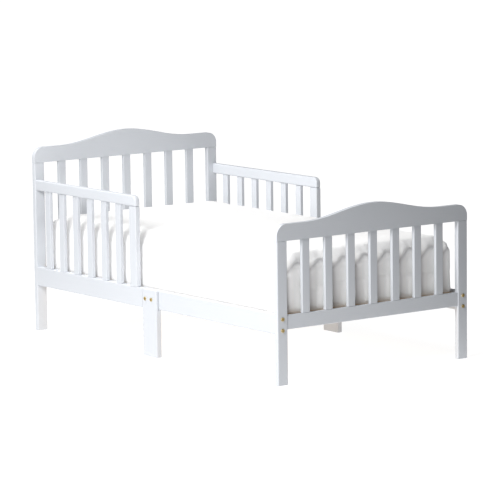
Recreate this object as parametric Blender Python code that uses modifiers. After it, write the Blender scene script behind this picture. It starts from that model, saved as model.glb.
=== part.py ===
"""Toddler bed of painted solid wood, with a mattress in a fitted sheet.

Metres, +Z up.  +X runs from the headboard to the footboard, -Y is the near side, and the
origin lies on the floor under the middle of the bed.  Two end frames stand on flat posts,
two side rails are bolted between them, a guard panel stands on the head half of each rail,
a lapped leg carries each rail at mid length, and two boards carry the mattress.
"""

import math

import bpy

# ---- driving dimensions -----------------------------------------------------------------
MATTRESS_LENGTH = 1.311     # standard crib mattress, 51 5/8 x 27 1/4 in
MATTRESS_WIDTH = 0.692
MATTRESS_THICK = 0.172
MATTRESS_CORNER = 0.045     # radius of the upright corners
MATTRESS_EDGE = 0.014       # rounding of the top and bottom edges
END_PLAY = 0.0065           # mattress to the posts, at each end
SIDE_PLAY = 0.0035          # mattress to the side rails, at each side
SHEET_THICK = 0.0012

POST_WIDTH = 0.038          # post, across the bed
POST_THICK = 0.018          # post and crest, along the bed

HEAD_CREST_UNDER = 0.570    # underside of the headboard's crest
FOOT_CREST_UNDER = 0.442    # underside of the footboard's crest
CREST_SHOULDER = 0.052      # depth of a crest at its flat shoulders
CREST_RISE = 0.037          # extra height of the hump in the middle
CREST_HUMP_SHARE = 0.715    # hump's width as a share of the bed's width
CREST_CORNER = 0.035        # radius of a crest's two outer corners

END_RAIL_UNDER = 0.170      # underside of the straight rail at the foot of an end frame
END_RAIL_HEIGHT = 0.045
END_RAIL_INSET = 0.002      # the end rail stands this far inside the post faces

SLAT_WIDTH = 0.0285
SLAT_THICK = 0.012
END_SLATS = 7

RAIL_UNDER = 0.155          # underside of the side rails
RAIL_HEIGHT = 0.0625
RAIL_THICK = 0.019
RAIL_INSET = 0.009          # side rail's outer face, inside the posts' outer faces

GUARD_TO_LEG = 0.031        # +X end of the guard panels to the mid leg
GUARD_TOP = 0.5135          # top of the guard's top rail
GUARD_RAIL_HEIGHT = 0.0355
GUARD_THICK = 0.018
GUARD_CORNER = 0.020        # radius of the top rail's free corner
GUARD_POST_WIDTH = 0.038
GUARD_SLATS = 6

LEG_CENTRE = 0.0
LEG_WIDTH = 0.078
LEG_THICK = 0.018

LEDGE_HEIGHT = 0.025        # ledge along the inside of a side rail, glued to it
LEDGE_DEPTH = 0.020

BASE_BOARDS = 2
BASE_THICK = 0.012
BASE_DROP = 0.0075          # top of the base boards, below the top of the side rails
BASE_PLAY = 0.0015          # base board's edge to the side rail
BASE_HOLE_RADIUS = 0.014    # hand and air holes through the base boards
BASE_HOLES = 3              # in each direction, on each board

BOLT_RADIUS = 0.003
BOLT_HEAD_RADIUS = 0.006
BOLT_HEAD_HEIGHT = 0.0025
BOLT_SPREAD = 0.0345        # between the two bolts of a post
BOLT_SOCKET_RADIUS = 0.0029  # hexagonal socket in the bolt heads, across its corners
BOLT_SOCKET_DEPTH = 0.0016
POST_BOLT_REACH = 0.052     # bolt shank past the post
LEG_BOLT_OFFSETS = (-0.0235, 0.0105)   # along the leg's width, from its middle
LEG_BOLT_LIFT = 0.000       # leg bolts, above the middle of the side rail

EASE = 0.0025               # eased edges of the wood
FIT = 0.0003                # gap between touching faces
HOLE_PLAY = 0.0004          # hole radius over its bolt
ROUND_SIDES = 12
ARC_STEPS = 6
HUMP_STEPS = 20
CUT_OVER = 0.002            # how far a cutter passes a face

# ---- derived places ---------------------------------------------------------------------
HALF_LENGTH = MATTRESS_LENGTH / 2 + END_PLAY + POST_THICK
HALF_WIDTH = MATTRESS_WIDTH / 2 + SIDE_PLAY + RAIL_THICK + RAIL_INSET
CREST_HUMP_HALF = HALF_WIDTH * CREST_HUMP_SHARE
CLEAR_HALF_LENGTH = HALF_LENGTH - POST_THICK
RAIL_TOP = RAIL_UNDER + RAIL_HEIGHT
RAIL_MIDDLE = RAIL_UNDER + RAIL_HEIGHT / 2
RAIL_OUTER = HALF_WIDTH - RAIL_INSET
RAIL_INNER = RAIL_OUTER - RAIL_THICK
RAIL_CENTRE = (RAIL_OUTER + RAIL_INNER) / 2
GUARD_RAIL_UNDER = GUARD_TOP - GUARD_RAIL_HEIGHT
GUARD_START = -CLEAR_HALF_LENGTH + FIT
LEG_START = LEG_CENTRE - LEG_WIDTH / 2
GUARD_END = LEG_START - GUARD_TO_LEG
GUARD_POST_START = GUARD_END - GUARD_POST_WIDTH
LEG_END = LEG_CENTRE + LEG_WIDTH / 2
BASE_TOP = RAIL_TOP - BASE_DROP
BASE_HALF_WIDTH = RAIL_INNER - BASE_PLAY
LEDGE_TOP = BASE_TOP - BASE_THICK - FIT
LEDGE_INNER = RAIL_INNER - LEDGE_DEPTH
MATTRESS_UNDER = BASE_TOP + FIT
LEG_BOLT_HEIGHT = RAIL_MIDDLE + LEG_BOLT_LIFT
LEG_BOLT_REACH = RAIL_INSET + RAIL_THICK + LEDGE_DEPTH * 0.6
BOLT_HEIGHTS = (RAIL_MIDDLE - BOLT_SPREAD / 2, RAIL_MIDDLE + BOLT_SPREAD / 2)
SIDES = (("near", -1), ("far", 1))

for old in list(bpy.data.objects):
    bpy.data.objects.remove(old, do_unlink=True)

parts = bpy.data.collections.new("toddler_bed")
cutters = bpy.data.collections.new("cutters")
bpy.context.scene.collection.children.link(parts)
bpy.context.scene.collection.children.link(cutters)


# ---- materials --------------------------------------------------------------------------
def material(name, colour, roughness, metallic=0.0):
    """A Principled material of one colour."""
    made = bpy.data.materials.new(name)
    made.use_nodes = True
    shader = made.node_tree.nodes["Principled BSDF"]
    shader.inputs["Base Color"].default_value = (*colour, 1.0)
    shader.inputs["Roughness"].default_value = roughness
    shader.inputs["Metallic"].default_value = metallic
    return made


WHITE_PAINT = material("white_paint", (0.70, 0.72, 0.755), 0.38)
BARE_WOOD = material("bare_pine", (0.72, 0.55, 0.36), 0.60)
BRASS = material("brass_plate", (0.76, 0.62, 0.30), 0.30, 1.0)
TICKING = material("mattress_ticking", (0.88, 0.87, 0.84), 0.85)
COTTON = material("white_cotton", (0.93, 0.93, 0.91), 0.90)


# ---- building blocks --------------------------------------------------------------------
def assembly(name):
    """An empty that carries the pieces of one sub-assembly."""
    empty = bpy.data.objects.new(name, None)
    bpy.context.scene.collection.objects.link(empty)
    return empty


def finish(piece, name, finish_material, parent):
    """Names a new piece and files it in the parts' collection, under its assembly."""
    piece.name = name
    piece.data.name = name
    piece.data.materials.clear()
    piece.data.materials.append(finish_material)
    for holder in list(piece.users_collection):
        holder.objects.unlink(piece)
    parts.objects.link(piece)
    piece.parent = parent
    return piece


def as_cutter(piece):
    """Files a cutting shape with the cutters and hides it from renders."""
    piece.hide_render = True
    piece.display_type = "WIRE"
    for holder in list(piece.users_collection):
        holder.objects.unlink(piece)
    cutters.objects.link(piece)
    return piece


def apply_scale(piece):
    """Moves an object's scale into its mesh."""
    for vertex in piece.data.vertices:
        vertex.co.x *= piece.scale.x
        vertex.co.y *= piece.scale.y
        vertex.co.z *= piece.scale.z
    piece.scale = (1.0, 1.0, 1.0)


def block(low, high):
    """A box between two corners, with its origin at its centre."""
    centre = [(a + b) / 2 for a, b in zip(low, high)]
    bpy.ops.mesh.primitive_cube_add(size=1.0, location=centre)
    piece = bpy.context.object
    piece.scale = [b - a for a, b in zip(low, high)]
    apply_scale(piece)
    return piece


def ease_edges(piece, width=EASE, segments=1):
    """Rounds or chamfers the sharp edges of a piece."""
    bevel = piece.modifiers.new("eased_edges", "BEVEL")
    bevel.width = width
    bevel.segments = segments
    bevel.limit_method = "ANGLE"
    bevel.angle_limit = math.radians(40)
    return piece


def board(name, low, high, parent, finish_material=WHITE_PAINT, ease=EASE):
    """A planed board with eased edges."""
    piece = finish(block(low, high), name, finish_material, parent)
    return ease_edges(piece, ease)


def mirrored_y(low, high, side):
    """The two corners of a box on the near (-1) or far (+1) side, given for the far side."""
    if side > 0:
        return low, high
    return (low[0], -high[1], low[2]), (high[0], -low[1], high[2])


def outline(points, name, thick, finish_material, parent):
    """A flat outline of (along, up) points, extruded to a thickness about its plane."""
    curve = bpy.data.curves.new(name, "CURVE")
    curve.dimensions = "2D"
    curve.fill_mode = "BOTH"
    curve.extrude = thick / 2
    spline = curve.splines.new("POLY")
    spline.points.add(len(points) - 1)
    for target, (along, up) in zip(spline.points, points):
        target.co = (along, up, 0.0, 1.0)
    spline.use_cyclic_u = True
    sketch = bpy.data.objects.new(name + "_outline", curve)
    bpy.context.scene.collection.objects.link(sketch)
    bpy.context.view_layer.update()
    evaluated = sketch.evaluated_get(bpy.context.evaluated_depsgraph_get())
    mesh = bpy.data.meshes.new_from_object(evaluated)
    bpy.data.objects.remove(sketch, do_unlink=True)
    piece = bpy.data.objects.new(name, mesh)
    bpy.context.scene.collection.objects.link(piece)
    finish(piece, name, finish_material, parent)
    weld = piece.modifiers.new("welded_caps", "WELD")
    weld.merge_threshold = 0.00005
    return piece


def rod(radius, start, direction, length, sides=ROUND_SIDES):
    """A cylinder that runs from a point along an axis direction."""
    turns = {
        "+x": (0.0, math.pi / 2, 0.0), "-x": (0.0, -math.pi / 2, 0.0),
        "+y": (-math.pi / 2, 0.0, 0.0), "-y": (math.pi / 2, 0.0, 0.0),
        "+z": (0.0, 0.0, 0.0), "-z": (math.pi, 0.0, 0.0),
    }
    step = {"x": (1, 0, 0), "y": (0, 1, 0), "z": (0, 0, 1)}[direction[1]]
    sign = 1 if direction[0] == "+" else -1
    centre = [p + sign * s * length / 2 for p, s in zip(start, step)]
    bpy.ops.mesh.primitive_cylinder_add(
        vertices=sides, radius=radius, depth=length, location=centre,
        rotation=turns[direction])
    return bpy.context.object


def shifted(point, direction, distance):
    """A point moved along an axis direction."""
    axis = "xyz".index(direction[1])
    sign = 1 if direction[0] == "+" else -1
    moved = list(point)
    moved[axis] += sign * distance
    return tuple(moved)


def join(pieces):
    """One object from several, with their places in its mesh."""
    bpy.ops.object.select_all(action="DESELECT")
    for piece in pieces:
        piece.select_set(True)
    bpy.context.view_layer.objects.active = pieces[0]
    bpy.ops.object.join()
    joined = bpy.context.object
    bpy.ops.object.transform_apply(location=True, rotation=True, scale=True)
    return joined


def cut(piece, cutter, solver="EXACT"):
    """Takes a cutter's shape out of a piece."""
    boolean = piece.modifiers.new("cut_" + cutter.name, "BOOLEAN")
    boolean.operation = "DIFFERENCE"
    boolean.solver = solver
    boolean.object = cutter
    return piece


def drill(piece, holes):
    """Drills round holes, each given as (radius, start, direction, length)."""
    rods = [rod(*hole) for hole in holes]
    cutter = as_cutter(join(rods))
    cutter.name = "drill_" + piece.name
    return cut(piece, cutter)


def bolt(name, start, direction, shank, parent):
    """A bolt turned about its axis: head outside the start point, shank inside."""
    back = ("-" if direction[0] == "+" else "+") + direction[1]
    head = BOLT_HEAD_HEIGHT
    profile = (
        (0.0, head), (BOLT_HEAD_RADIUS * 0.78, head), (BOLT_HEAD_RADIUS, head * 0.5),
        (BOLT_HEAD_RADIUS, 0.0), (BOLT_RADIUS, 0.0), (BOLT_RADIUS, -shank), (0.0, -shank),
    )
    mesh = bpy.data.meshes.new(name)
    mesh.from_pydata([(x, 0.0, z) for x, z in profile],
                     [(i, i + 1) for i in range(len(profile) - 1)], [])
    piece = bpy.data.objects.new(name, mesh)
    bpy.context.scene.collection.objects.link(piece)
    screw = piece.modifiers.new("turned", "SCREW")
    screw.steps = ROUND_SIDES
    screw.render_steps = ROUND_SIDES
    screw.use_smooth_shade = True
    screw.use_merge_vertices = True
    screw.merge_threshold = 0.00005
    turns = {"+x": (0.0, math.pi / 2, 0.0), "-x": (0.0, -math.pi / 2, 0.0),
             "+y": (-math.pi / 2, 0.0, 0.0), "-y": (math.pi / 2, 0.0, 0.0)}
    piece.rotation_euler = turns[back]
    piece.location = shifted(start, back, FIT)
    finish(piece, name, BRASS, parent)
    outer = shifted(start, back, FIT + head + CUT_OVER)
    socket = as_cutter(rod(BOLT_SOCKET_RADIUS, outer, direction,
                           BOLT_SOCKET_DEPTH + CUT_OVER, 6))
    socket.name = "socket_" + name
    return cut(piece, socket)


# ---- bolt places ------------------------------------------------------------------------
def post_bolt_places():
    """Start point and direction of each bolt through an end post into a side rail."""
    places = []
    for _, side in SIDES:
        for end in (-1, 1):
            direction = "-x" if end > 0 else "+x"
            for height in BOLT_HEIGHTS:
                places.append(((end * HALF_LENGTH, side * RAIL_CENTRE, height), direction))
    return places


def leg_bolt_places():
    """Start point and direction of each bolt through a mid leg, side rail and ledge."""
    places = []
    for _, side in SIDES:
        direction = "-y" if side > 0 else "+y"
        for offset in LEG_BOLT_OFFSETS:
            start = (LEG_CENTRE + offset, side * HALF_WIDTH, LEG_BOLT_HEIGHT)
            places.append((start, direction))
    return places


def shank_holes(places, radius, length):
    """Holes for the shanks of bolts, cut a little past both of their ends."""
    holes = []
    for start, direction in places:
        back = ("-" if direction[0] == "+" else "+") + direction[1]
        begin = shifted(start, back, CUT_OVER)
        holes.append((radius + HOLE_PLAY, begin, direction, length + 2 * CUT_OVER))
    return holes


def near_places(places, keep):
    """The places whose start point passes a test."""
    return [place for place in places if keep(place[0])]


# ---- end frames -------------------------------------------------------------------------
def crest_points(under):
    """Outline of a crest rail: rounded outer corners and a smooth hump in the middle."""
    shoulder = under + CREST_SHOULDER
    points = [(-HALF_WIDTH, under)]
    for index in range(ARC_STEPS + 1):
        angle = math.pi - index * math.pi / 2 / ARC_STEPS
        points.append((-HALF_WIDTH + CREST_CORNER + CREST_CORNER * math.cos(angle),
                       shoulder - CREST_CORNER + CREST_CORNER * math.sin(angle)))
    for index in range(HUMP_STEPS + 1):
        share = -1 + 2 * index / HUMP_STEPS
        points.append((share * CREST_HUMP_HALF,
                       shoulder + CREST_RISE * (1 + math.cos(math.pi * share)) / 2))
    for index in range(ARC_STEPS + 1):
        angle = math.pi / 2 - index * math.pi / 2 / ARC_STEPS
        points.append((HALF_WIDTH - CREST_CORNER + CREST_CORNER * math.cos(angle),
                       shoulder - CREST_CORNER + CREST_CORNER * math.sin(angle)))
    points.append((HALF_WIDTH, under))
    return points


def crest(name, under, plane, parent):
    """A crest rail standing in the plane of an end frame."""
    piece = outline(crest_points(under), name, POST_THICK, WHITE_PAINT, parent)
    piece.rotation_euler = (math.pi / 2, 0.0, math.pi / 2)
    piece.location = (plane, 0.0, 0.0)
    return ease_edges(piece, EASE)


def end_frame(word, end, crest_under):
    """Headboard (end -1) or footboard (end +1): crest, lower rail, two posts and slats."""
    frame = assembly(word + "board")
    plane = end * (HALF_LENGTH - POST_THICK / 2)
    low_x = plane - POST_THICK / 2
    high_x = plane + POST_THICK / 2
    crest(word + "_crest_rail", crest_under, plane, frame)
    inner = HALF_WIDTH - POST_WIDTH
    rail_half = POST_THICK / 2 - END_RAIL_INSET
    board(word + "_lower_rail", (plane - rail_half, -inner + FIT, END_RAIL_UNDER),
          (plane + rail_half, inner - FIT, END_RAIL_UNDER + END_RAIL_HEIGHT), frame)
    bolts = post_bolt_places()
    for side_name, side in SIDES:
        low, high = mirrored_y((low_x, inner, 0.0),
                               (high_x, HALF_WIDTH, crest_under - FIT), side)
        post = board(word + "_post_" + side_name, low, high, frame)
        mine = near_places(bolts, lambda p: p[0] * end > 0 and p[1] * side > 0)
        drill(post, shank_holes(mine, BOLT_RADIUS, POST_THICK))
    gap = (2 * inner - END_SLATS * SLAT_WIDTH) / (END_SLATS + 1)
    slat_low = END_RAIL_UNDER + END_RAIL_HEIGHT + FIT
    for index in range(END_SLATS):
        start = -inner + gap + index * (gap + SLAT_WIDTH)
        board("%s_slat_%d" % (word, index + 1),
              (plane - SLAT_THICK / 2, start, slat_low),
              (plane + SLAT_THICK / 2, start + SLAT_WIDTH, crest_under - FIT), frame)


# ---- sides ------------------------------------------------------------------------------
def side_rail(side_name, side, parent):
    """A full-length side rail with its glued-on ledge, bored for its bolts."""
    low, high = mirrored_y((-CLEAR_HALF_LENGTH + FIT, RAIL_INNER, RAIL_UNDER),
                           (CLEAR_HALF_LENGTH - FIT, RAIL_OUTER, RAIL_TOP), side)
    rail = board("side_rail_" + side_name, low, high, parent)
    low, high = mirrored_y(
        (-CLEAR_HALF_LENGTH + FIT + EASE, LEDGE_INNER, LEDGE_TOP - LEDGE_HEIGHT),
        (CLEAR_HALF_LENGTH - FIT - EASE, RAIL_CENTRE, LEDGE_TOP), side)
    ledge = as_cutter(block(low, high))
    ledge.name = "ledge_" + side_name
    glue = rail.modifiers.new("glued_ledge", "BOOLEAN")
    glue.operation = "UNION"
    glue.solver = "EXACT"
    glue.object = ledge
    on_side = [p for p in post_bolt_places() if p[0][1] * side > 0]
    holes = shank_holes(on_side, BOLT_RADIUS, POST_THICK + POST_BOLT_REACH)
    leg = [p for p in leg_bolt_places() if p[0][1] * side > 0]
    holes += shank_holes(leg, BOLT_RADIUS, LEG_BOLT_REACH)
    drill(rail, holes)


def guard(side_name, side, parent):
    """A guard panel: board on the side rail, slats, end post and rounded top rail."""
    start = GUARD_START
    low, high = mirrored_y((start, RAIL_OUTER + FIT, RAIL_UNDER),
                           (LEG_START - FIT, HALF_WIDTH, RAIL_TOP), side)
    board("guard_lower_rail_" + side_name, low, high, parent)
    low, high = mirrored_y((GUARD_POST_START, HALF_WIDTH - GUARD_THICK, RAIL_TOP + FIT),
                           (GUARD_END, HALF_WIDTH, GUARD_RAIL_UNDER - FIT), side)
    board("guard_end_post_" + side_name, low, high, parent)
    gap = (GUARD_POST_START - start - GUARD_SLATS * SLAT_WIDTH) / (GUARD_SLATS + 1)
    middle = HALF_WIDTH - GUARD_THICK / 2
    for index in range(GUARD_SLATS):
        left = start + gap + index * (gap + SLAT_WIDTH)
        low, high = mirrored_y(
            (left, middle - SLAT_THICK / 2, RAIL_TOP + FIT),
            (left + SLAT_WIDTH, middle + SLAT_THICK / 2, GUARD_RAIL_UNDER - FIT), side)
        board("guard_slat_%s_%d" % (side_name, index + 1), low, high, parent)
    points = [(start, GUARD_RAIL_UNDER), (start, GUARD_TOP)]
    for index in range(ARC_STEPS + 1):
        angle = math.pi / 2 - index * math.pi / 2 / ARC_STEPS
        points.append((GUARD_END - GUARD_CORNER + GUARD_CORNER * math.cos(angle),
                       GUARD_TOP - GUARD_CORNER + GUARD_CORNER * math.sin(angle)))
    points.append((GUARD_END, GUARD_RAIL_UNDER))
    top = outline(points, "guard_top_rail_" + side_name, GUARD_THICK, WHITE_PAINT, parent)
    top.rotation_euler = (math.pi / 2, 0.0, 0.0)
    top.location = (0.0, side * middle, 0.0)
    ease_edges(top, EASE)


def mid_leg(side_name, side, parent):
    """A leg that laps over the rail's outer face and carries the rail on its shoulder."""
    low, high = mirrored_y((LEG_START, HALF_WIDTH - LEG_THICK, 0.0),
                           (LEG_END, HALF_WIDTH, RAIL_TOP), side)
    leg = finish(block(low, high), "mid_leg_" + side_name, WHITE_PAINT, parent)
    low, high = mirrored_y(
        (LEG_START - CUT_OVER, HALF_WIDTH - LEG_THICK - CUT_OVER, RAIL_UNDER - FIT),
        (LEG_END + CUT_OVER, RAIL_OUTER + FIT, RAIL_TOP + CUT_OVER), side)
    notch = as_cutter(block(low, high))
    notch.name = "notch_mid_leg_" + side_name
    cut(leg, notch)
    ease_edges(leg, EASE / 2)
    drill(leg, shank_holes([p for p in leg_bolt_places() if p[0][1] * side > 0],
                           BOLT_RADIUS, RAIL_INSET))


def base_boards(parent):
    """The boards that lie on the side rails' ledges and carry the mattress."""
    pitch = 2 * CLEAR_HALF_LENGTH / BASE_BOARDS
    for index in range(BASE_BOARDS):
        start = -CLEAR_HALF_LENGTH + index * pitch + FIT
        piece = board("base_board_%d" % (index + 1),
                      (start, -BASE_HALF_WIDTH, BASE_TOP - BASE_THICK),
                      (start + pitch - 2 * FIT, BASE_HALF_WIDTH, BASE_TOP),
                      parent, BARE_WOOD, EASE / 2)
        holes = []
        for row in range(BASE_HOLES):
            for column in range(BASE_HOLES):
                place = (start + pitch * (row + 0.5) / BASE_HOLES,
                         BASE_HALF_WIDTH * (2 * (column + 0.5) / BASE_HOLES - 1),
                         BASE_TOP + CUT_OVER)
                holes.append((BASE_HOLE_RADIUS, place, "-z", BASE_THICK + 2 * CUT_OVER))
        drill(piece, holes)


# ---- bolts ------------------------------------------------------------------------------
def bolts(parent):
    """Two bolts through each post into its side rail, and two through each mid leg."""
    for start, direction in post_bolt_places():
        end_word = "foot" if start[0] > 0 else "head"
        side_word = "far" if start[1] > 0 else "near"
        height_word = "upper" if start[2] > RAIL_MIDDLE else "lower"
        bolt("%s_bolt_%s_%s" % (end_word, side_word, height_word), start, direction,
             POST_THICK + POST_BOLT_REACH, parent)
    for start, direction in leg_bolt_places():
        side_word = "far" if start[1] > 0 else "near"
        number = 1 if start[0] < LEG_CENTRE else 2
        bolt("leg_bolt_%s_%d" % (side_word, number), start, direction,
             LEG_BOLT_REACH, parent)


# ---- mattress ---------------------------------------------------------------------------
def pad(grow, low_z, high_z):
    """A mattress-shaped solid: rounded upright corners and softened long edges."""
    half_x = MATTRESS_LENGTH / 2 + grow
    half_y = MATTRESS_WIDTH / 2 + grow
    piece = block((-half_x, -half_y, low_z), (half_x, half_y, high_z))
    weights = piece.data.attributes.new("bevel_weight_edge", "FLOAT", "EDGE")
    for edge in piece.data.edges:
        ends = [piece.data.vertices[index].co for index in edge.vertices]
        upright = abs(ends[0].z - ends[1].z) > 0.5 * (high_z - low_z)
        weights.data[edge.index].value = 1.0 if upright else 0.0
    corners = piece.modifiers.new("round_corners", "BEVEL")
    corners.width = MATTRESS_CORNER + grow
    corners.segments = 5
    corners.limit_method = "WEIGHT"
    return piece


def mattress():
    """The mattress and the fitted sheet over its top and sides."""
    holder = assembly("bedding")
    top = MATTRESS_UNDER + MATTRESS_THICK
    core = finish(pad(0.0, MATTRESS_UNDER, top), "mattress", TICKING, holder)
    ease_edges(core, MATTRESS_EDGE, 2)
    grow = FIT + SHEET_THICK
    sheet = finish(pad(grow, MATTRESS_UNDER, top + grow), "fitted_sheet", COTTON, holder)
    ease_edges(sheet, MATTRESS_EDGE, 2)
    hollow = as_cutter(pad(FIT, MATTRESS_UNDER - 3 * MATTRESS_EDGE, top + FIT))
    hollow.name = "hollow_fitted_sheet"
    ease_edges(hollow, MATTRESS_EDGE, 2)
    cut(sheet, hollow)


# ---- the bed ----------------------------------------------------------------------------
end_frame("head", -1, HEAD_CREST_UNDER)
end_frame("foot", 1, FOOT_CREST_UNDER)
sides = assembly("sides")
for side_name, side in SIDES:
    side_rail(side_name, side, sides)
    guard(side_name, side, sides)
    mid_leg(side_name, side, sides)
base_boards(assembly("mattress_base"))
bolts(assembly("bolts"))
mattress()
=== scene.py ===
"""A white painted toddler bed with a mattress in a fitted sheet, finished on its fixed frame.

Every wooden bar is remade with rounded edges where the frame holds it, the mattress is
filled by a cloth simulation, and its sheet is a copy of its skin with folds and a hem.
Metres, +Z up, +X from the headboard to the footboard, -Y on the near side.
"""

import logging
import math
from dataclasses import dataclass, field
from enum import Enum
from typing import Any, Callable, Optional, Union

import bmesh
import bpy
from mathutils import Matrix, Vector, noise


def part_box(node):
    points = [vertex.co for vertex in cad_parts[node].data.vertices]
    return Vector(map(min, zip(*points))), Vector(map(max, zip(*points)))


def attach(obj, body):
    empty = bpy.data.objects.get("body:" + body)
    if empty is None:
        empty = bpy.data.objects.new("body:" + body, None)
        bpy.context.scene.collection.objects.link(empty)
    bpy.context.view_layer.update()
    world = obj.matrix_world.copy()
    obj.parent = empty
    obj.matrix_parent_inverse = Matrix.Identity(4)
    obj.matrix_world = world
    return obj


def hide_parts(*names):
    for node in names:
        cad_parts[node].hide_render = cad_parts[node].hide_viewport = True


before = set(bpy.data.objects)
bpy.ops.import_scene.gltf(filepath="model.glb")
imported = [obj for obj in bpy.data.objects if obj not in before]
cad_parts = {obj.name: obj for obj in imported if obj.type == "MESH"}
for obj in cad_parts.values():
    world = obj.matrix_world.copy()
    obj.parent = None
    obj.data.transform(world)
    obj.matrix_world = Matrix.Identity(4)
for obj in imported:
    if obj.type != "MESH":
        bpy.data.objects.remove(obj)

log = logging.getLogger("toddler_bed")
Triple = tuple[float, float, float]


class Axis(Enum):
    """The direction that a board's grain runs in."""

    X = 0
    Y = 1
    Z = 2


class End(Enum):
    """One of the bed's two end frames, with the sign of its place along the bed."""

    HEAD = -1
    FOOT = 1

    @property
    def word(self) -> str:
        """The word that the frame's names use for this end."""
        return self.name.lower()


class Side(Enum):
    """One of the bed's two long sides, with the sign of its place across the bed."""

    NEAR = -1
    FAR = 1

    @property
    def word(self) -> str:
        """The word that the frame's names use for this side."""
        return self.name.lower()


# ---- shader building --------------------------------------------------------------------
class Signal:
    """A node's output socket that can be used in arithmetic."""

    def __init__(self, graph: "Graph", socket: bpy.types.NodeSocket) -> None:
        """Wraps a socket.

        Args:
            graph: The material that the socket is part of.
            socket: The output socket.
        """
        self.graph = graph
        self.socket = socket

    def _math(self, operation: str, first: Any, second: Any) -> "Signal":
        """One Math node.

        Args:
            operation: The node's operation.
            first: Its first input, a signal or a number.
            second: Its second input, a signal or a number.

        Returns:
            The node's result.
        """
        return self.graph.node("ShaderNodeMath", {"operation": operation},
                               {0: first, 1: second}).out()

    def __add__(self, other: Any) -> "Signal":
        """This plus other."""
        return self._math("ADD", self, other)

    def __radd__(self, other: Any) -> "Signal":
        """Other plus this."""
        return self._math("ADD", other, self)

    def __sub__(self, other: Any) -> "Signal":
        """This minus other."""
        return self._math("SUBTRACT", self, other)

    def __rsub__(self, other: Any) -> "Signal":
        """Other minus this."""
        return self._math("SUBTRACT", other, self)

    def __mul__(self, other: Any) -> "Signal":
        """This times other."""
        return self._math("MULTIPLY", self, other)

    def __rmul__(self, other: Any) -> "Signal":
        """Other times this."""
        return self._math("MULTIPLY", other, self)

    def __truediv__(self, other: Any) -> "Signal":
        """This divided by other."""
        return self._math("DIVIDE", self, other)


class Placed:
    """A node that has been added to a material."""

    def __init__(self, graph: "Graph", node: bpy.types.Node) -> None:
        """Wraps a node.

        Args:
            graph: The material that the node is part of.
            node: The node.
        """
        self.graph = graph
        self.raw = node

    def out(self, key: Union[int, str] = 0) -> Signal:
        """One of the node's outputs, by place or name."""
        return Signal(self.graph, self.raw.outputs[key])


class Graph:
    """A material's node tree, with a Principled shader at its end."""

    def __init__(self, name: str) -> None:
        """Starts an empty material.

        Args:
            name: The material's name.
        """
        self.material = bpy.data.materials.new(name)
        self.material.use_nodes = True
        self.tree = self.material.node_tree
        self.shader = self.tree.nodes["Principled BSDF"]

    def node(self, kind: str, settings: Optional[dict[str, Any]] = None,
             inputs: Optional[dict[Union[int, str], Any]] = None) -> Placed:
        """Adds a node.

        Args:
            kind: The node's type.
            settings: Its own settings; "stops" holds a colour ramp's (place, grey) pairs.
            inputs: Values or signals for its input sockets.

        Returns:
            The node.
        """
        made = self.tree.nodes.new(kind)
        for key, value in (settings or {}).items():
            if key == "stops":
                self._stops(made, value)
            else:
                setattr(made, key, value)
        for key, value in (inputs or {}).items():
            self._feed(made.inputs[key], value)
        return Placed(self, made)

    def _stops(self, ramp: bpy.types.Node, stops: list[tuple[float, float]]) -> None:
        """Sets a colour ramp's stops.

        Args:
            ramp: The ramp's node.
            stops: Pairs of place and grey value.
        """
        elements = ramp.color_ramp.elements
        for index, (place, grey) in enumerate(stops):
            stop = elements[index] if index < len(elements) else elements.new(place)
            stop.position = place
            stop.color = (grey, grey, grey, 1.0)

    def _feed(self, socket: bpy.types.NodeSocket, value: Any) -> None:
        """Links a signal to an input, or sets the input's value."""
        if isinstance(value, Signal):
            self.tree.links.new(value.socket, socket)
        else:
            socket.default_value = value

    def set(self, **values: Any) -> None:
        """Feeds the shader; each name is a socket's, with _ for a space."""
        for key, value in values.items():
            self._feed(self.shader.inputs[key.replace("_", " ")], value)

    def place(self, scale: Triple = (1.0, 1.0, 1.0)) -> Signal:
        """Object coordinates, stretched by a scale along each axis."""
        coordinates = self.node("ShaderNodeTexCoord").out("Object")
        return self.node("ShaderNodeMapping", None,
                         {"Vector": coordinates, "Scale": scale}).out()

    def cloud(self, vector: Signal, scale: float, detail: float = 3.0) -> Signal:
        """Smooth noise from 0 to 1."""
        return self.node("ShaderNodeTexNoise", None,
                         {"Vector": vector, "Scale": scale, "Detail": detail}).out("Fac")

    def tint(self, amount: Signal, first: Union[Triple, Signal],
             second: Union[Triple, Signal]) -> Signal:
        """A colour that turns from the first to the second as amount goes from 0 to 1."""
        made = self.node("ShaderNodeMix", {"data_type": "RGBA"})
        self._feed(made.raw.inputs[0], amount)
        for key, colour in ((6, first), (7, second)):
            self._feed(made.raw.inputs[key],
                       colour if isinstance(colour, Signal) else (*colour, 1.0))
        return made.out(2)

    def bump(self, height: Signal, distance: float, strength: float = 1.0) -> Signal:
        """A normal raised by a height, in metres times the distance."""
        return self.node("ShaderNodeBump", None, {
            "Height": height, "Distance": distance, "Strength": strength}).out()


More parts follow.
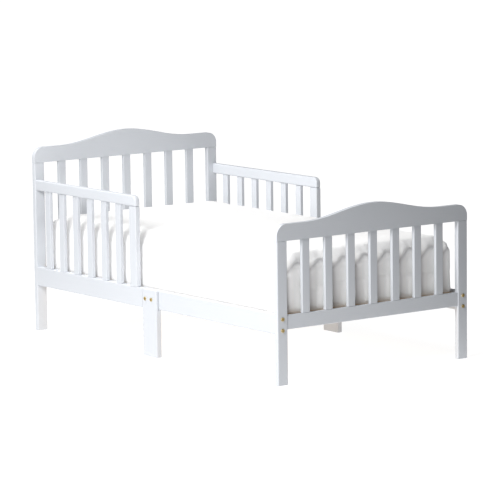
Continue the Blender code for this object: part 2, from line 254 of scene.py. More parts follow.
# ---- finishes ---------------------------------------------------------------------------
@dataclass(frozen=True)
class WhitePaint:
    """Satin white paint, sprayed on sanded wood whose grain shows faintly along a board."""

    grain: Axis
    colour: Triple = (0.665, 0.688, 0.725)
    shade: Triple = (0.645, 0.669, 0.708)

    def material(self) -> bpy.types.Material:
        """The paint's material, made once for each grain direction."""
        name = "white_paint_" + self.grain.name.lower()
        if name in bpy.data.materials:
            return bpy.data.materials[name]
        graph = Graph(name)
        stretch = [60.0, 60.0, 60.0]
        stretch[self.grain.value] = 3.0
        grain = graph.cloud(graph.place(tuple(stretch)), 4.0, 4.0)
        peel = graph.cloud(graph.place(), 260.0, 2.0)
        drift = graph.cloud(graph.place(), 5.0, 2.0)
        mottle = graph.node("ShaderNodeValToRGB", {"stops": [(0.35, 0.0), (0.75, 1.0)]},
                            {"Fac": drift * 0.6 + grain * 0.4}).out()
        graph.set(Base_Color=graph.tint(mottle, self.colour, self.shade),
                  Roughness=0.34 + peel * 0.10 + drift * 0.08,
                  Coat_Weight=0.12,
                  Coat_Roughness=0.25,
                  Normal=graph.bump(grain * 0.6 + peel * 0.4, 0.00022, 0.35))
        return graph.material


@dataclass(frozen=True)
class BrassPlate:
    """Satin brass plating with fine turning marks and a little tarnish."""

    bright: Triple = (0.80, 0.63, 0.30)
    dull: Triple = (0.46, 0.36, 0.18)

    def material(self) -> bpy.types.Material:
        """The plating's material."""
        graph = Graph("brass_plate")
        spots = graph.cloud(graph.place(), 420.0, 4.0)
        marks = graph.cloud(graph.place((1.0, 1.0, 1.0)), 1900.0, 1.0)
        graph.set(Base_Color=graph.tint(spots * 0.9, self.bright, self.dull),
                  Metallic=1.0,
                  Roughness=0.24 + spots * 0.28,
                  Normal=graph.bump(marks, 0.00005, 0.4))
        return graph.material


@dataclass(frozen=True)
class Plywood:
    """Bare birch plywood, with long flame grain and open pores."""

    pale: Triple = (0.74, 0.58, 0.39)
    dark: Triple = (0.52, 0.36, 0.21)

    def material(self) -> bpy.types.Material:
        """The plywood's material."""
        graph = Graph("birch_plywood")
        warp = graph.cloud(graph.place((1.0, 4.0, 4.0)), 2.2, 2.0)
        bands = graph.node("ShaderNodeTexWave",
                           {"wave_type": "BANDS", "bands_direction": "Y"},
                           {"Vector": graph.place((0.8, 6.0, 6.0)), "Scale": 2.4,
                            "Distortion": 9.0, "Detail": 3.0}).out("Fac")
        pores = graph.cloud(graph.place((8.0, 260.0, 260.0)), 3.0, 2.0)
        graph.set(Base_Color=graph.tint(bands * 0.55 + warp * 0.25 + pores * 0.2,
                                        self.pale, self.dark),
                  Roughness=0.55 + pores * 0.2,
                  Normal=graph.bump(pores, 0.0002, 0.6))
        return graph.material


@dataclass(frozen=True)
class Cotton:
    """Plain-woven white cotton with crumples too small to model, with painted shade where it is
    drawn in.

    The cloth also gives off a little light of its own, painted light which lifts its shaded
    sides; in its creases it gives off almost none, which deepens the painted shade there.
    """

    fresh: Triple = (0.955, 0.95, 0.945)
    soft: Triple = (0.91, 0.90, 0.89)
    painted_crease_shade: Triple = (0.42, 0.40, 0.41)
    shine: Triple = (1.0, 0.99, 0.97)
    crease_shade_glow: Triple = (0.05, 0.05, 0.05)
    glow: float = 0.12
    thread: float = 0.0011

    def material(self) -> bpy.types.Material:
        """The cloth's material."""
        graph = Graph("white_cotton")
        across = self._threads(graph, "X")
        along = self._threads(graph, "Y")
        upright = self._threads(graph, "Z")
        weave = (across + along + upright) / 3.0
        crumple = graph.cloud(graph.place((1.0, 1.0, 0.45)), 26.0, 5.0)
        drift = graph.cloud(graph.place(), 3.2, 3.0)
        # Painted shade: the creases and tucks of the drawn-in ends are tinted dark grey, from
        # the mask kept on the mesh, where shade falls.
        drawn = graph.node("ShaderNodeAttribute", {"attribute_name": "drawn_in"}).out("Fac")
        plain = graph.tint(drift * 0.55 + crumple * 0.35 + weave * 0.1,
                           self.fresh, self.soft)
        graph.set(Base_Color=graph.tint(drawn, plain, self.painted_crease_shade),
                  Roughness=0.82 + weave * 0.12,
                  Sheen_Weight=0.15,
                  Sheen_Roughness=0.5,
                  Subsurface_Weight=0.12,
                  Subsurface_Radius=(0.9, 0.85, 0.8),
                  Subsurface_Scale=0.02,
                  # Painted light: a faint glow everywhere but in the creases, where the glow is
                  # cut off to deepen the painted shade.
                  Emission_Color=graph.tint(drawn, self.shine, self.crease_shade_glow),
                  Emission_Strength=self.glow,
                  Normal=graph.bump(crumple * 0.86 + weave * 0.14, 0.0045, 0.55))
        return graph.material

    def _threads(self, graph: Graph, direction: str) -> Signal:
        """Ridges one thread apart along a direction, from 0 to 1."""
        return graph.node("ShaderNodeTexWave",
                          {"wave_type": "BANDS", "bands_direction": direction},
                          {"Vector": graph.place(), "Scale": 0.31416 / self.thread,
                           "Distortion": 0.6, "Detail": 1.0}).out("Fac")


@dataclass(frozen=True)
class Ticking:
    """Off-white quilted mattress ticking with a narrow woven stripe."""

    ground: Triple = (0.86, 0.85, 0.81)
    stripe: Triple = (0.62, 0.66, 0.70)

    def material(self) -> bpy.types.Material:
        """The ticking's material."""
        graph = Graph("mattress_ticking")
        lines = graph.node("ShaderNodeTexWave",
                           {"wave_type": "BANDS", "bands_direction": "X"},
                           {"Vector": graph.place(), "Scale": 12.0}).out("Fac")
        narrow = graph.node("ShaderNodeValToRGB", {"stops": [(0.86, 0.0), (0.93, 1.0)]},
                            {"Fac": lines}).out()
        fibre = graph.cloud(graph.place(), 700.0, 2.0)
        graph.set(Base_Color=graph.tint(narrow, self.ground, self.stripe),
                  Roughness=0.85 + fibre * 0.1,
                  Normal=graph.bump(fibre, 0.0004, 0.6))
        return graph.material


@dataclass(frozen=True)
class StudioPaper:
    """A pale studio surface: a backdrop's paper that glows, or the dull floor round it."""

    name: str = "studio_paper"
    colour: Triple = (0.26, 0.26, 0.26)
    near_glow: float = 0.93
    far_glow: float = 1.06
    near_reach: float = 1.6
    far_reach: float = 4.5

    def material(self) -> bpy.types.Material:
        """The surface's material."""
        graph = Graph(self.name)
        away = graph.node("ShaderNodeVectorMath", {"operation": "LENGTH"},
                          {0: graph.place()}).out("Value")
        share = graph.node("ShaderNodeMapRange", {"interpolation_type": "SMOOTHSTEP"},
                           {"Value": away, "From Min": self.near_reach,
                            "From Max": self.far_reach}).out()
        near = (self.near_glow, self.near_glow, self.near_glow)
        far = (self.far_glow, self.far_glow, self.far_glow)
        graph.set(Base_Color=(*self.colour, 1.0),
                  Roughness=0.95,
                  Specular_IOR_Level=0.0,
                  Emission_Color=graph.tint(share, near, far),
                  Emission_Strength=1.0)
        return graph.material


# ---- bench tools ------------------------------------------------------------------------
def deselect() -> None:
    """Leaves nothing selected."""
    if bpy.context.object and bpy.context.object.mode != "OBJECT":
        bpy.ops.object.mode_set(mode="OBJECT")
    bpy.ops.object.select_all(action="DESELECT")


def take_up(piece: bpy.types.Object) -> None:
    """Makes a piece the only selected one, and the active one."""
    deselect()
    piece.select_set(True)
    bpy.context.view_layer.objects.active = piece


def settle(piece: bpy.types.Object) -> None:
    """Moves a piece's place, turn and scale into its mesh."""
    take_up(piece)
    bpy.ops.object.transform_apply(location=True, rotation=True, scale=True)


def cube_between(name: str, low: Vector, high: Vector) -> bpy.types.Object:
    """A cube added at the size and place of a box.

    Args:
        name: The new object's name.
        low: The box's lowest corner.
        high: The box's highest corner.

    Returns:
        The new object, its place in its mesh.
    """
    deselect()
    bpy.ops.mesh.primitive_cube_add(size=1.0, location=(low + high) / 2,
                                    scale=high - low)
    piece = bpy.context.object
    piece.name = name
    piece.data.name = name
    settle(piece)
    return piece


def pick_edges(piece: bpy.types.Object, test: Callable[[Vector, Vector], bool]) -> None:
    """Enters edit mode with only the edges selected whose two ends pass a test.

    Args:
        piece: The object to edit.
        test: Takes the places of an edge's two ends.
    """
    take_up(piece)
    bpy.ops.object.mode_set(mode="EDIT")
    bpy.context.tool_settings.mesh_select_mode = (False, True, False)
    bpy.ops.mesh.select_all(action="DESELECT")
    mesh = bmesh.from_edit_mesh(piece.data)
    for edge in mesh.edges:
        if test(edge.verts[0].co, edge.verts[1].co):
            edge.select_set(True)
    bmesh.update_edit_mesh(piece.data)


def bevel_picked(width: float, segments: int) -> None:
    """Rounds the selected edges and leaves edit mode.

    Args:
        width: How far the rounding reaches from each edge.
        segments: How many faces make the rounding.
    """
    bpy.ops.mesh.bevel(offset=width, segments=segments, profile=0.5, affect="EDGES")
    bpy.ops.object.mode_set(mode="OBJECT")


def apply_modifier(piece: bpy.types.Object, kind: str, **settings: Any) -> None:
    """Adds a modifier and applies it.

    Args:
        piece: The object that takes it.
        kind: The modifier's type.
        **settings: The modifier's own settings.
    """
    take_up(piece)
    modifier = piece.modifiers.new(kind.lower(), kind)
    for key, value in settings.items():
        setattr(modifier, key, value)
    bpy.ops.object.modifier_apply(modifier=modifier.name)


def smooth(piece: bpy.types.Object, degrees: float = 40.0, weighted: bool = True) -> None:
    """Shades a piece smooth, with its flat faces kept flat.

    Args:
        piece: The object to shade.
        degrees: The sharpest angle that is still smooth.
        weighted: Whether large faces keep their own normals.
    """
    take_up(piece)
    bpy.ops.object.shade_smooth_by_angle(angle=math.radians(degrees))
    if weighted:
        apply_modifier(piece, "WEIGHTED_NORMAL", keep_sharp=True)


def dress(piece: bpy.types.Object, material: bpy.types.Material) -> None:
    """Gives a piece one material."""
    piece.data.materials.clear()
    piece.data.materials.append(material)


def hand_over(piece: bpy.types.Object, nodes: list[str], body: str) -> None:
    """Puts a finished piece on its body, in place of the frame's own solids.

    Args:
        piece: The finished piece.
        nodes: The solids that it stands for.
        body: The body that it rides on.
    """
    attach(piece, body)
    if nodes:
        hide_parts(*nodes)
    log.info("%s: %d faces, rides on %s", piece.name, len(piece.data.polygons), body)


# ---- wooden pieces ----------------------------------------------------------------------
@dataclass
class Board:
    """A planed and painted board with rounded long edges and crisp ends."""

    node: str
    grain: Axis
    radius: float = 0.0030
    end_radius: float = 0.0007
    slot: str = "white_paint"
    body: str = "bed_frame"

    def shape(self, low: Vector, high: Vector) -> bpy.types.Object:
        """Models the board between two corners, along its grain.

        Args:
            low: The lowest corner.
            high: The highest corner.

        Returns:
            The new piece.
        """
        piece = cube_between(self.node + "_wood", low, high)
        along = self.grain.value
        pick_edges(piece, lambda a, b: abs(a[along] - b[along]) > 1e-4)
        bevel_picked(self.radius, 4)
        pick_edges(piece, lambda a, b: abs(a[along] - b[along]) < 1e-6)
        bevel_picked(self.end_radius, 2)
        smooth(piece)
        return piece

    def build(self, material: Optional[bpy.types.Material] = None) -> bpy.types.Object:
        """Models, paints and places the board.

        Args:
            material: A finish other than the white paint.

        Returns:
            The finished piece.
        """
        piece = self.shape(*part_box(self.node))
        dress(piece, material or WhitePaint(self.grain).material())
        hand_over(piece, [self.node], self.body)
        return piece


@dataclass
class Crest:
    """An end frame's crest rail: rounded shoulders and one smooth hump."""

    node: str
    shoulder: float = 0.052
    rise: float = 0.037
    hump_half: float = 0.270
    corner: float = 0.035
    round_over: float = 0.0045
    corner_steps: int = 12
    hump_steps: int = 60

    def stations(self, half_width: float) -> list[tuple[float, float]]:
        """Places across the bed, with the height of the rail's top above its underside.

        Args:
            half_width: Half of the rail's length.

        Returns:
            Pairs of place and height, from -Y to +Y.
        """
        pairs = []
        for step in range(self.corner_steps + 1):
            angle = math.pi - step * math.pi / 2 / self.corner_steps
            pairs.append((-half_width + self.corner * (1 + math.cos(angle)),
                          self.shoulder - self.corner * (1 - math.sin(angle))))
        for step in range(self.hump_steps + 1):
            share = -1 + 2 * step / self.hump_steps
            pairs.append((share * self.hump_half, self.shoulder
                          + self.rise * (1 + math.cos(math.pi * share)) / 2))
        left = pairs[:self.corner_steps + 1]
        return pairs + [(-y, height) for y, height in reversed(left)]

    def build(self) -> bpy.types.Object:
        """Models, paints and places the crest rail.

        Returns:
            The finished piece.
        """
        low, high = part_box(self.node)
        stations = self.stations((high.y - low.y) / 2)
        columns = len(stations) - 1
        deselect()
        bpy.ops.mesh.primitive_grid_add(x_subdivisions=columns, y_subdivisions=1,
                                        size=1.0, location=(0.0, 0.0, 0.0))
        piece = bpy.context.object
        piece.name = self.node + "_wood"
        for vertex in piece.data.vertices:
            across, height = stations[round((vertex.co.x + 0.5) * columns)]
            top = low.z + height if vertex.co.y > 0 else low.z
            vertex.co = (low.x, across, top)
        take_up(piece)
        bpy.ops.object.mode_set(mode="EDIT")
        bpy.ops.mesh.select_all(action="SELECT")
        bpy.ops.mesh.extrude_region_move(
            TRANSFORM_OT_translate={"value": (high.x - low.x, 0.0, 0.0)})
        bpy.ops.mesh.select_all(action="SELECT")
        bpy.ops.mesh.normals_make_consistent(inside=False)
        bpy.ops.object.mode_set(mode="OBJECT")
        apply_modifier(piece, "BEVEL", width=self.round_over, segments=4,
                       limit_method="ANGLE", angle_limit=math.radians(50))
        smooth(piece)
        dress(piece, WhitePaint(Axis.Y).material())
        hand_over(piece, [self.node], "bed_frame")
        return piece


@dataclass
class GuardTop:
    """A guard panel's top rail, with its free upper corner rounded off."""

    node: str
    corner: float = 0.020
    round_over: float = 0.0045

    def build(self) -> bpy.types.Object:
        """Models, paints and places the rail.

        Returns:
            The finished piece.
        """
        low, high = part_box(self.node)
        piece = cube_between(self.node + "_wood", low, high)
        pick_edges(piece, lambda a, b: min(a.x, b.x) > high.x - 1e-4
                   and min(a.z, b.z) > high.z - 1e-4)
        bevel_picked(self.corner, 10)
        apply_modifier(piece, "BEVEL", width=self.round_over, segments=4,
                       limit_method="ANGLE", angle_limit=math.radians(50))
        smooth(piece)
        dress(piece, WhitePaint(Axis.X).material())
        hand_over(piece, [self.node], "bed_frame")
        return piece


@dataclass
class EndFrame:
    """The headboard or the footboard."""

    end: End
    slats: int = 7

    def build(self) -> None:
        """Builds the crest, the lower rail, the posts and the slats."""
        word = self.end.word
        Crest(word + "_crest_rail").build()
        Board(word + "_lower_rail", Axis.Y).build()
        for side in Side:
            Board("%s_post_%s" % (word, side.word), Axis.Z, end_radius=0.0012).build()
        for number in range(1, self.slats + 1):
            Board("%s_slat_%d" % (word, number), Axis.Z, radius=0.0018).build()


@dataclass
class LongSide:
    """A side of the bed: side rail with its ledge, guard panel and mid leg."""

    side: Side
    slats: int = 6
    ledge_depth: float = 0.020
    ledge_height: float = 0.025
    ledge_drop: float = 0.0198

    def build(self) -> None:
        """Builds every piece of the side."""
        word = self.side.word
        self.rail(word)
        Board("guard_lower_rail_" + word, Axis.X, radius=0.0024).build()
        Board("guard_end_post_" + word, Axis.Z).build()
        for number in range(1, self.slats + 1):
            Board("guard_slat_%s_%d" % (word, number), Axis.Z, radius=0.0018).build()
        GuardTop("guard_top_rail_" + word).build()
        self.leg(word)

    def rail(self, word: str) -> None:
        """Builds the side rail, and the ledge that is glued along its inside.

        Args:
            word: The side's name.
        """
        node = "side_rail_" + word
        low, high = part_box(node)
        if self.side is Side.NEAR:
            inner = high.y - self.ledge_depth
            rail_low, rail_high = low, Vector((high.x, inner, high.z))
            ledge = (inner + 0.0001, high.y)
        else:
            inner = low.y + self.ledge_depth
            rail_low, rail_high = Vector((low.x, inner, low.z)), high
            ledge = (low.y, inner - 0.0001)
        board = Board(node, Axis.X)
        piece = board.shape(rail_low, rail_high)
        dress(piece, WhitePaint(Axis.X).material())
        hand_over(piece, [node], "bed_frame")
        top = high.z - self.ledge_drop
        strip = Board("side_ledge_" + word, Axis.X, radius=0.0015, slot="bare_pine")
        piece = strip.shape(Vector((low.x + 0.003, ledge[0], top - self.ledge_height)),
                            Vector((high.x - 0.003, ledge[1], top)))
        dress(piece, Plywood().material())
        hand_over(piece, [], "bed_frame")

    def leg(self, word: str) -> None:
        """Builds the mid leg, whose upper part is notched to lap over the side rail.

        Args:
            word: The side's name.
        """
        node = "mid_leg_" + word
        low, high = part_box(node)
        rail_low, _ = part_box("side_rail_" + word)
        lap = (high.y - low.y) / 2 - 0.0003
        piece = cube_between(node + "_wood", low, Vector((high.x, high.y,
                                                          rail_low.z - 0.0003)))
        outward = self.side.value
        shoulder = rail_low.z - 0.0003
        split = high.y - lap if outward > 0 else low.y + lap
        take_up(piece)
        bpy.ops.object.mode_set(mode="EDIT")
        bpy.ops.mesh.select_all(action="SELECT")
        bpy.ops.mesh.bisect(plane_co=(0.0, split, 0.0), plane_no=(0.0, 1.0, 0.0))
        bpy.context.tool_settings.mesh_select_mode = (False, False, True)
        bpy.ops.mesh.select_all(action="DESELECT")
        mesh = bmesh.from_edit_mesh(piece.data)
        mesh.normal_update()
        for face in mesh.faces:
            middle = face.calc_center_median()
            on_top = face.normal.z > 0.9 and middle.z > shoulder - 1e-4
            face.select_set(on_top and (middle.y - split) * outward > 0)
        bmesh.update_edit_mesh(piece.data)
        bpy.ops.mesh.extrude_region_move(
            TRANSFORM_OT_translate={"value": (0.0, 0.0, high.z - shoulder)})
        bpy.ops.mesh.select_all(action="SELECT")
        bpy.ops.mesh.normals_make_consistent(inside=False)
        bpy.ops.object.mode_set(mode="OBJECT")
        apply_modifier(piece, "BEVEL", width=0.0022, segments=3,
                       limit_method="ANGLE", angle_limit=math.radians(50))
        smooth(piece)
        dress(piece, WhitePaint(Axis.Z).material())
        hand_over(piece, [node], "bed_frame")


@dataclass
class Bolts:
    """The brass-plated socket bolts through the posts and the mid legs."""

    head_radius: float = 0.006
    head_height: float = 0.0025
    shank_radius: float = 0.003
    socket_radius: float = 0.0029
    socket_depth: float = 0.0016
    sides: int = 32

    def pattern(self, shank: float) -> bpy.types.Object:
        """Models one bolt along +Z, with the underside of its head at the origin.

        Args:
            shank: The shank's length.

        Returns:
            The bolt.
        """
        deselect()
        bpy.ops.mesh.primitive_cylinder_add(
            vertices=self.sides, radius=self.head_radius, depth=self.head_height,
            location=(0.0, 0.0, self.head_height / 2))
        piece = bpy.context.object
        settle(piece)
        pick_edges(piece, lambda a, b: min(a.z, b.z) > self.head_height - 1e-5)
        bevel_picked(0.0011, 4)
        bpy.ops.object.mode_set(mode="EDIT")
        bpy.context.tool_settings.mesh_select_mode = (False, False, True)
        bpy.ops.mesh.select_all(action="DESELECT")
        mesh = bmesh.from_edit_mesh(piece.data)
        mesh.normal_update()
        for face in mesh.faces:
            face.select_set(face.normal.z < -0.9)
        bmesh.update_edit_mesh(piece.data)
        bpy.ops.mesh.inset(thickness=self.head_radius - self.shank_radius, depth=0.0)
        bpy.ops.mesh.extrude_region_move(
            TRANSFORM_OT_translate={"value": (0.0, 0.0, -shank)})
        bpy.ops.object.mode_set(mode="OBJECT")
        deselect()
        bpy.ops.mesh.primitive_cylinder_add(
            vertices=6, radius=self.socket_radius, depth=2 * self.socket_depth,
            location=(0.0, 0.0, self.head_height))
        key = bpy.context.object
        apply_modifier(piece, "BOOLEAN", operation="DIFFERENCE", object=key)
        bpy.data.objects.remove(key, do_unlink=True)
        smooth(piece, 35.0)
        return piece

    def build(self) -> None:
        """Copies the bolt to each of its places and dresses the copies."""
        brass = BrassPlate().material()
        names = ["%s_bolt_%s_%s" % (end.word, side.word, height)
                 for end in End for side in Side for height in ("lower", "upper")]
        self.copies(names, 0, brass)
        names = ["leg_bolt_%s_%d" % (side.word, number) for side in Side
                 for number in (1, 2)]
        self.copies(names, 1, brass)

    def copies(self, names: list[str], along: int, brass: bpy.types.Material) -> None:
        """Places copies of a bolt that lies along one axis.

        Args:
            names: The frame's solids that they stand for.
            along: The axis, 0 for X or 1 for Y.
            brass: The copies' material.
        """
        low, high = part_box(names[0])
        pattern = self.pattern(high[along] - low[along] - self.head_height)
        for name in names:
            low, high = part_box(name)
            centre = (low + high) / 2
            outward = 1 if centre[along] > 0 else -1
            piece = bpy.data.objects.new(name + "_plated", pattern.data.copy())
            bpy.context.scene.collection.objects.link(piece)
            seat = Vector(centre)
            edge = high[along] if outward > 0 else low[along]
            seat[along] = edge - outward * self.head_height
            direction = Vector((0.0, 0.0, 0.0))
            direction[along] = outward
            turn = direction.to_track_quat("Z", "Y").to_matrix().to_4x4()
            piece.matrix_world = Matrix.Translation(seat) @ turn
            settle(piece)
            dress(piece, brass)
            hand_over(piece, [name], "bed_frame")
        bpy.data.objects.remove(pattern, do_unlink=True)


@dataclass
class MattressBase:
    """The two bored boards that carry the mattress."""

    boards: int = 2

    def build(self) -> None:
        """Dresses the frame's own boards, whose shape is already right."""
        plywood = Plywood().material()
        for number in range(1, self.boards + 1):
            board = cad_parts["base_board_%d" % number]
            dress(board, plywood)
            log.info("base_board_%d: dressed in plywood", number)


# ---- bedding ----------------------------------------------------------------------------
@dataclass
class Bedding:
    """The mattress, filled by simulation, and the fitted sheet drawn over it."""

    voxel: float = 0.008
    slack: Triple = (0.0010, 0.0006, 0.0020)
    swell_cap: Triple = (0.0015, 0.0012, 0.0090)
    pressure: float = 4.0
    frames: int = 20
    hem: float = 0.060
    cloth: float = 0.0010
    fold_depth: float = 0.0040
    roll_width: float = 0.0884
    roll_start: float = 0.0885
    roll_depth: float = 0.0300
    corner: float = 0.030
    top_edge: float = 0.034
    bottom_edge: float = 0.006
    held_height: float = 0.014
    dome_height: float = 0.0025
    ripple_height: float = 0.0016
    crease_drop: float = 0.030
    crease_foot: float = 0.55
    hem_height: float = 0.012
    clear: float = 0.0014
    roll_reach: float = 0.070
    tuck_height: float = 0.89
    tuck_drop: float = 0.17
    tuck_depth: float = 0.0090
    tuck_spread: float = 0.045
    rest: list[Vector] = field(default_factory=list)

    def build(self) -> None:
        """Builds the mattress and then its sheet."""
        mattress = self.mattress()
        sheet = self.sheet(mattress)
        dress(mattress, Ticking().material())
        dress(sheet, Cotton().material())
        hand_over(mattress, ["mattress"], "bedding")
        hand_over(sheet, ["fitted_sheet"], "bedding")

    def mattress(self) -> bpy.types.Object:
        """Models the mattress: a rounded block, remeshed and filled from inside.

        Returns:
            The mattress.
        """
        low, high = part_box("mattress")
        slack = Vector(self.slack)
        low = low + slack
        high = high - slack
        piece = cube_between("mattress_filled", low, high)
        pick_edges(piece, lambda a, b: abs(a.z - b.z) > 0.01)
        bevel_picked(self.corner, 8)
        pick_edges(piece, lambda a, b: abs(a.z - b.z) < 1e-6 and a.z > high.z - 1e-4)
        bevel_picked(self.top_edge, 6)
        pick_edges(piece, lambda a, b: abs(a.z - b.z) < 1e-6 and a.z < low.z + 1e-4)
        bevel_picked(self.bottom_edge, 3)
        apply_modifier(piece, "REMESH", mode="VOXEL", voxel_size=self.voxel)
        self.rest = [vertex.co.copy() for vertex in piece.data.vertices]
        self.fill(piece, low.z)
        self.cap(piece)
        self.crown(piece, low, high)
        self.refine_ends(piece, high.x - self.roll_reach - self.voxel)
        self.gather_ends(piece, low, high)
        smooth(piece, 60.0, weighted=False)
        return piece

    def fill(self, piece: bpy.types.Object, floor: float) -> None:
        """Blows the mattress up a little as cloth, with its underside held.

        Args:
            piece: The mattress.
            floor: The height of its underside.
        """
        take_up(piece)
        held = piece.vertex_groups.new(name="held")
        held.add([v.index for v in piece.data.vertices if v.co.z < floor + self.held_height],
                 1.0, "REPLACE")
        cloth = piece.modifiers.new("filling", "CLOTH")
        cloth.settings.quality = 4
        cloth.settings.mass = 0.25
        cloth.settings.tension_stiffness = 40.0
        cloth.settings.compression_stiffness = 40.0
        cloth.settings.bending_stiffness = 4.0
        cloth.settings.use_pressure = True
        cloth.settings.uniform_pressure_force = self.pressure
        cloth.settings.effector_weights.gravity = 0.0
        cloth.settings.vertex_group_mass = "held"
        cloth.collision_settings.use_self_collision = False
        cloth.point_cache.frame_start = 1
        cloth.point_cache.frame_end = self.frames
        for step in range(1, self.frames + 1):
            bpy.context.scene.frame_set(step)
        bpy.ops.object.modifier_apply(modifier=cloth.name)
        bpy.context.scene.frame_set(1)

    def cap(self, piece: bpy.types.Object) -> None:
        """Keeps every point of the filled mattress close to where it began."""
        for vertex, start in zip(piece.data.vertices, self.rest):
            for axis in range(3):
                most = self.swell_cap[axis]
                move = vertex.co[axis] - start[axis]
                vertex.co[axis] = start[axis] + max(-most, min(most, move))

    def crown(self, piece: bpy.types.Object, low: Vector, high: Vector) -> None:
        """Lets the top dip and rise a little, as fibre filling does.

        Args:
            piece: The mattress.
            low: Its lowest corner.
            high: Its highest corner.
        """
        for vertex in piece.data.vertices:
            share = max(0.0, (vertex.co.z - low.z) / (high.z - low.z))
            across = vertex.co.y / high.y
            along = vertex.co.x / high.x
            dome = (1 - across ** 4) * (1 - along ** 6)
            ripple = noise.noise(Vector((vertex.co.x * 5.0, vertex.co.y * 6.0, 3.1)))
            vertex.co.z += share ** 3 * (self.dome_height * dome + self.ripple_height * ripple)

    def refine_ends(self, piece: bpy.types.Object, start: float) -> None:
        """Splits the faces near the two ends, so that the rolls are drawn finely.

        Args:
            piece: The mattress.
            start: How far from the middle the finer part begins.
        """
        take_up(piece)
        bpy.ops.object.mode_set(mode="EDIT")
        bpy.ops.mesh.select_all(action="DESELECT")
        bpy.ops.object.mode_set(mode="OBJECT")
        for polygon in piece.data.polygons:
            polygon.select = abs(polygon.center.x) > start
        bpy.ops.object.mode_set(mode="EDIT")
        bpy.ops.mesh.select_mode(type="FACE")
        bpy.ops.mesh.subdivide(number_cuts=1, smoothness=0.0)
        bpy.ops.object.mode_set(mode="OBJECT")

    def gather_ends(self, piece: bpy.types.Object, low: Vector, high: Vector) -> None:
        """Draws the two ends in between upright rolls, with an arched tuck over each.

        How far each point is drawn in is kept on the mesh as "drawn_in", the mask for the
        painted shade in the sheet's creases and tucks.

        Args:
            piece: The mattress.
            low: Its lowest corner.
            high: Its highest corner.
        """
        drawn = piece.data.attributes.new("drawn_in", "FLOAT", "POINT")
        for vertex in piece.data.vertices:
            place = vertex.co
            reach = (abs(place.x) - (high.x - self.roll_reach)) / self.roll_reach
            if reach <= 0.0:
                continue
            share = min(1.0, reach)
            share = share * share * (3.0 - 2.0 * share)
            sign = 1.0 if place.x > 0.0 else -1.0
            drift = noise.noise(Vector((place.y * 7.0, place.z * 4.0, 2.0 + sign)))
            turn = (place.y - self.roll_start) / self.roll_width + 0.12 * drift
            size = 0.75 + 0.5 * noise.noise(Vector((place.y * 3.0, 0.0, 6.0 + sign)))
            crease = (1.0 - abs(math.cos(math.pi * turn))) ** 1.3
            rise = (place.z - low.z) / (high.z - low.z)
            vertex.co.x -= sign * share * self.roll_depth * crease * size
            vertex.co.z -= (share * max(0.0, rise - self.crease_foot) * self.crease_drop
                            * crease * size)
            arch = self.tuck_height - self.tuck_drop * (1.0 - abs(math.cos(math.pi * turn)))
            tuck = math.exp(-((rise - arch) / self.tuck_spread) ** 2)
            vertex.co.x -= sign * share * self.tuck_depth * tuck * (1.0 - 0.6 * crease)
            # The mask for the painted shade: darkest in the creases between the rolls and along
            # the arched tuck.
            drawn.data[vertex.index].value = share * min(1.0, crease * crease * size
                                                         + 0.45 * tuck)

    def sheet(self, mattress: bpy.types.Object) -> bpy.types.Object:
        """Draws the sheet over the mattress and turns its hem under.

        Args:
            mattress: The filled mattress.

        Returns:
            The sheet.
        """
        piece = bpy.data.objects.new("fitted_sheet_cotton", mattress.data.copy())
        bpy.context.scene.collection.objects.link(piece)
        low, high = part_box("mattress")
        take_up(piece)
        bpy.ops.object.mode_set(mode="EDIT")
        bpy.context.tool_settings.mesh_select_mode = (False, False, True)
        bpy.ops.mesh.select_all(action="DESELECT")
        mesh = bmesh.from_edit_mesh(piece.data)
        mesh.normal_update()
        for face in mesh.faces:
            middle = face.calc_center_median()
            inside = (abs(middle.x) < high.x - self.hem
                      and abs(middle.y) < high.y - self.hem)
            face.select_set(inside and middle.z < low.z + self.hem_height)
        bmesh.update_edit_mesh(piece.data)
        bpy.ops.mesh.delete(type="FACE")
        bpy.ops.object.mode_set(mode="OBJECT")
        normals = [vertex.normal.copy() for vertex in piece.data.vertices]
        for vertex, normal in zip(piece.data.vertices, normals):
            lift = self.clear + self.folds(vertex.co, normal, low, high)
            vertex.co = vertex.co + normal * lift
        apply_modifier(piece, "SOLIDIFY", thickness=self.cloth, offset=-1.0,
                       use_even_offset=False)
        smooth(piece, 60.0, weighted=False)
        return piece

    def folds(self, place: Vector, normal: Vector, low: Vector, high: Vector) -> float:
        """How far the cloth stands off the mattress at a place.

        Args:
            place: The point on the mattress.
            normal: The mattress's outward normal there.
            low: The mattress's lowest corner.
            high: The mattress's highest corner.

        Returns:
            The height of the fold, in metres.
        """
        rise = min(1.0, max(0.0, (place.z - low.z) / (high.z - low.z)))
        upright = max(0.0, 1.0 - abs(normal.z) * 1.6)
        if upright <= 0.0:
            if normal.z < 0.0:
                return 0.0
            soft = noise.noise(Vector((place.x * 11.0, place.y * 9.0, 0.7)))
            return 0.0005 * (1.0 + soft)
        run = place.y if abs(normal.x) > abs(normal.y) else place.x
        lean = 0.10 * math.sin(run * 7.0) * rise
        wave = noise.noise(Vector((run * 21.0 + lean * 20.0, rise * 0.9, 5.0)))
        fine = noise.noise(Vector((run * 58.0, rise * 1.7, 9.0)))
        ridge = (1.0 - abs(wave)) ** 3
        gather = 0.35 + 0.65 * (1.0 - rise) ** 1.5
        at_end = 0.55 if abs(normal.x) > abs(normal.y) else 0.28
        depth = self.fold_depth * at_end
        return upright * depth * gather * max(0.0, 0.8 * ridge + 0.25 * fine)


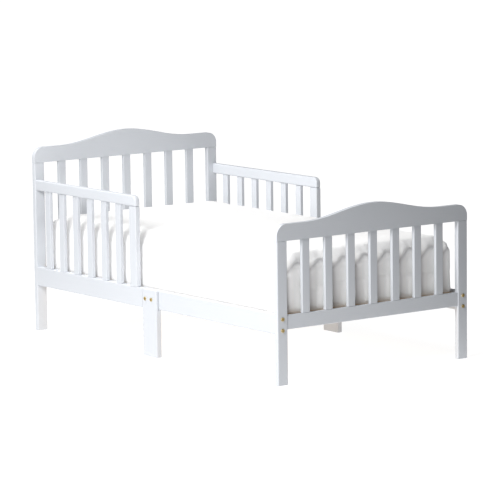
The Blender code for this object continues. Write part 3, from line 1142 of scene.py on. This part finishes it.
# ---- studio -----------------------------------------------------------------------------
@dataclass
class Studio:
    """The pale floor, the soft lights and the camera."""

    camera_place: Triple = (7.912, -5.856, 1.704)
    camera_turn: float = 53.35
    camera_tilt: float = 8.08
    camera_roll: float = -0.70
    lens: float = 218.0
    key_place: Triple = (1.32, -2.8, 2.20)
    key_size: float = 1.5
    key_power: float = 117.0
    top_place: Triple = (-0.60, -0.85, 2.6)
    top_size: float = 1.2
    top_power: float = 41.0
    sky_strength: float = 0.07
    paper_half_width: float = 1.25
    paper_shift: float = -0.27
    paper_spread: float = 0.11
    paper_front: float = 3.0
    paper_back: float = 40.0
    floor_glow: float = 0.12

    def build(self) -> None:
        """Builds the floor, the lights and the camera."""
        self.floor()
        self.lights()
        self.camera()

    def floor(self) -> None:
        """Lays a strip of bright paper under the bed, on a duller floor.

        The strip runs away from the camera and widens as it goes, so it fills the view, and
        the floor beside it gives the bed less light.
        """
        toward = Vector((self.camera_place[0], self.camera_place[1], 0.0)).normalized()
        across = Vector((-toward.y, toward.x, 0.0))
        deselect()
        bpy.ops.mesh.primitive_plane_add(size=2.0, location=(0.0, 0.0, 0.0))
        paper = bpy.context.object
        paper.name = "studio_paper"
        for corner in paper.data.vertices:
            along = self.paper_front if corner.co.x > 0.0 else -self.paper_back
            half = self.paper_half_width - self.paper_spread * along
            side = self.paper_shift + math.copysign(half, corner.co.y)
            place = toward * along + across * side
            corner.co = (place.x, place.y, -0.0004)
        dress(paper, StudioPaper().material())
        deselect()
        bpy.ops.mesh.primitive_plane_add(size=120.0, location=(0.0, 0.0, -0.002))
        floor = bpy.context.object
        floor.name = "studio_floor"
        dress(floor, StudioPaper("studio_floor", near_glow=self.floor_glow,
                                 far_glow=self.floor_glow).material())

    def lights(self) -> None:
        """Hangs a soft box on the near side and one overhead, under a dim sky."""
        self.soft_box("key_light", self.key_place, self.key_size, self.key_power)
        self.soft_box("top_light", self.top_place, self.top_size, self.top_power)
        world = bpy.data.worlds.new("studio_air")
        world.use_nodes = True
        sky = world.node_tree.nodes["Background"]
        sky.inputs["Color"].default_value = (0.93, 0.96, 1.0, 1.0)
        sky.inputs["Strength"].default_value = self.sky_strength
        bpy.context.scene.world = world
        bpy.context.scene.view_settings.view_transform = "Standard"

    def soft_box(self, name: str, place: Triple, size: float, power: float) -> None:
        """Hangs one round soft box that faces the middle of the bed.

        Args:
            name: The light's name.
            place: Where it hangs.
            size: Its diameter.
            power: Its power in watts.
        """
        data = bpy.data.lights.new(name, "AREA")
        data.shape = "DISK"
        data.size = size
        data.energy = power
        lamp = bpy.data.objects.new(name, data)
        bpy.context.scene.collection.objects.link(lamp)
        lamp.location = place
        lamp.rotation_mode = "QUATERNION"
        lamp.rotation_quaternion = (Vector(place) - Vector((0.0, 0.0, 0.3))
                                    ).to_track_quat("Z", "Y")
        lamp.visible_camera = False

    def camera(self) -> None:
        """Stands the camera off the near foot corner, with a long lens."""
        data = bpy.data.cameras.new("camera")
        data.sensor_width = 36.0
        data.lens = self.lens
        data.clip_end = 300.0
        camera = bpy.data.objects.new("camera", data)
        bpy.context.scene.collection.objects.link(camera)
        camera.matrix_world = (
            Matrix.Translation(self.camera_place)
            @ Matrix.Rotation(math.radians(self.camera_turn), 4, "Z")
            @ Matrix.Rotation(math.radians(90.0 - self.camera_tilt), 4, "X")
            @ Matrix.Rotation(math.radians(self.camera_roll), 4, "Z"))
        bpy.context.scene.camera = camera


def main() -> None:
    """Builds the finished bed on its frame, in the studio."""
    logging.basicConfig(level=logging.INFO, format="%(name)s %(message)s")
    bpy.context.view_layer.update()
    for end in End:
        EndFrame(end).build()
    for side in Side:
        LongSide(side).build()
    MattressBase().build()
    Bolts().build()
    Bedding().build()
    Studio().build()
    deselect()


if __name__ == "__main__":
    main()
